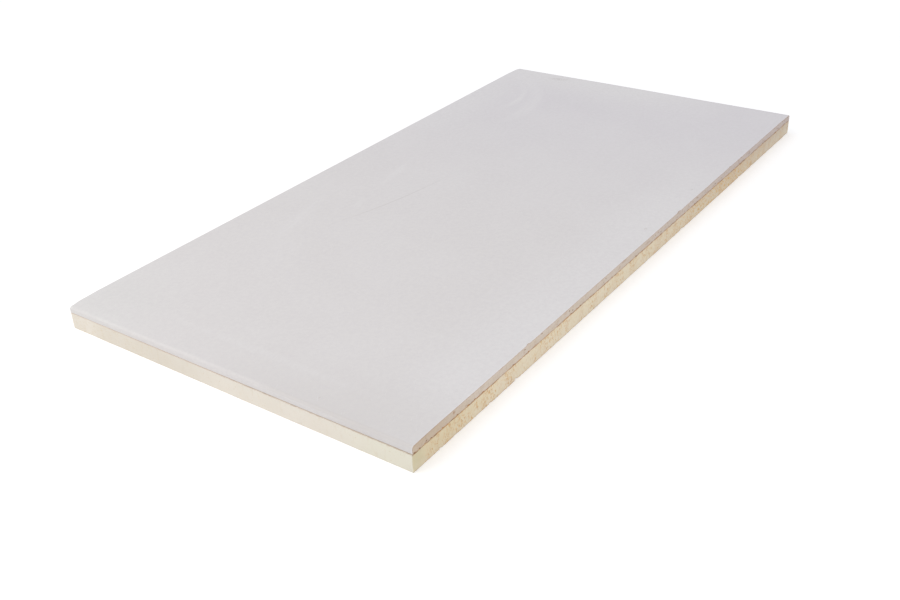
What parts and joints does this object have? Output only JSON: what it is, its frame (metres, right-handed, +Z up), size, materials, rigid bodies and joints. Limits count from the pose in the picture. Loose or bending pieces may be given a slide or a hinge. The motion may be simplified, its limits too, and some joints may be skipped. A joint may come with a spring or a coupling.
{
  "type": "insulated plasterboard",
  "caption": "Flat cut piece of plasterboard bonded to rigid foam insulation, with tapered paper-bound edges on the short sides and sawn long sides that show the layers.",
  "frame": {"origin": "middle of the underside, where the board lies on the floor", "axes": "+X across the board, between its paper-bound edges; +Y along the board, between its sawn edges; +Z up, out of the papered face"},
  "size_m": [1.2, 0.6, 0.0375],
  "materials": {
    "face_paper": "matte",
    "gypsum": "matte",
    "back_paper": "matte",
    "foam": "matte",
    "back_facer": "matte"
  },
  "bodies": {
    "root": {"face_paper": "face_paper", "gypsum_core": "gypsum", "back_paper": "back_paper", "foam_core": "foam", "back_facer": "back_facer"}
  },
  "joints": []
}
